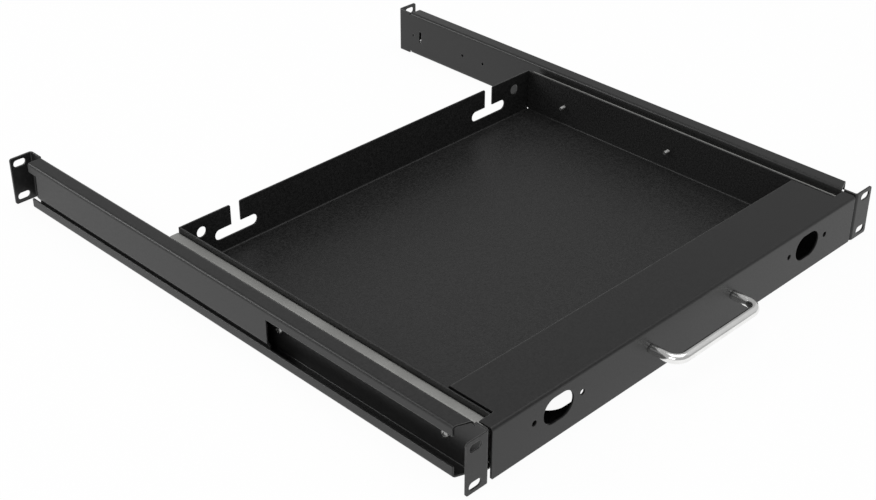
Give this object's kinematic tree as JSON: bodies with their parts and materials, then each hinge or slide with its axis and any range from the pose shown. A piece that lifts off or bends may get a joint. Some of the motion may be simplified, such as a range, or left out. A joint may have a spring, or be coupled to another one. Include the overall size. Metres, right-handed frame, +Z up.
{
  "type": "rack pull-out shelf",
  "caption": "One-rack-unit pull-out shelf: a flat sheet tray on ball slides between eared rails, with a front cover plate, cable openings and a rod handle.",
  "frame": {"origin": "middle of the front ears' slot pattern, on the ears' front face", "axes": "+X to the right seen from the front, +Y from the front ears to the rear ears, +Z up"},
  "size_m": [0.4826, 0.572, 0.044],
  "materials": {
    "black_coat": "matt black powder coat",
    "zinc_plate": "bright zinc plate",
    "cage_steel": "passivated zinc plate",
    "ball_steel": "polished bearing steel",
    "black_rubber": "matt",
    "chrome": "polished chrome plate",
    "screw_steel": "zinc plate"
  },
  "bodies": {
    "rails": {"left_rail": "black_coat", "right_rail": "black_coat", "left_rail_member": "zinc_plate", "right_rail_member": "zinc_plate", "left_buffer": "black_rubber", "right_buffer": "black_rubber", "left_rail_screws": "screw_steel", "right_rail_screws": "screw_steel"},
    "drawer": {"tray": "black_coat", "front_cover": "black_coat", "handle": "chrome", "handle_screws": "screw_steel", "left_tray_member": "zinc_plate", "right_tray_member": "zinc_plate", "left_tray_screws": "screw_steel", "right_tray_screws": "screw_steel"},
    "left_inner_cage": {"left_rail_cage": "cage_steel", "left_rail_balls": "ball_steel"},
    "left_middle": {"left_middle_member": "zinc_plate"},
    "left_outer_cage": {"left_tray_cage": "cage_steel", "left_tray_balls": "ball_steel"},
    "right_inner_cage": {"right_rail_cage": "cage_steel", "right_rail_balls": "ball_steel"},
    "right_middle": {"right_middle_member": "zinc_plate"},
    "right_outer_cage": {"right_tray_cage": "cage_steel", "right_tray_balls": "ball_steel"}
  },
  "joints": [
    {"name": "drawer_slide", "type": "slide", "parent": "rails", "child": "drawer", "axis": [0, -1, 0], "range_m": [0, 0.34]},
    {"name": "left_inner_cage_slide", "type": "slide", "parent": "rails", "child": "left_inner_cage", "axis": [0, -1, 0], "range_m": [0, 0.085]},
    {"name": "left_middle_slide", "type": "slide", "parent": "rails", "child": "left_middle", "axis": [0, -1, 0], "range_m": [0, 0.17]},
    {"name": "left_outer_cage_slide", "type": "slide", "parent": "rails", "child": "left_outer_cage", "axis": [0, -1, 0], "range_m": [0, 0.255]},
    {"name": "right_inner_cage_slide", "type": "slide", "parent": "rails", "child": "right_inner_cage", "axis": [0, -1, 0], "range_m": [0, 0.085]},
    {"name": "right_middle_slide", "type": "slide", "parent": "rails", "child": "right_middle", "axis": [0, -1, 0], "range_m": [0, 0.17]},
    {"name": "right_outer_cage_slide", "type": "slide", "parent": "rails", "child": "right_outer_cage", "axis": [0, -1, 0], "range_m": [0, 0.255]}
  ],
  "couplings": [
    {"joint": "left_inner_cage_slide", "follows": "drawer_slide", "ratio": 0.25},
    {"joint": "left_middle_slide", "follows": "drawer_slide", "ratio": 0.5},
    {"joint": "left_outer_cage_slide", "follows": "drawer_slide", "ratio": 0.75},
    {"joint": "right_inner_cage_slide", "follows": "drawer_slide", "ratio": 0.25},
    {"joint": "right_middle_slide", "follows": "drawer_slide", "ratio": 0.5},
    {"joint": "right_outer_cage_slide", "follows": "drawer_slide", "ratio": 0.75}
  ]
}
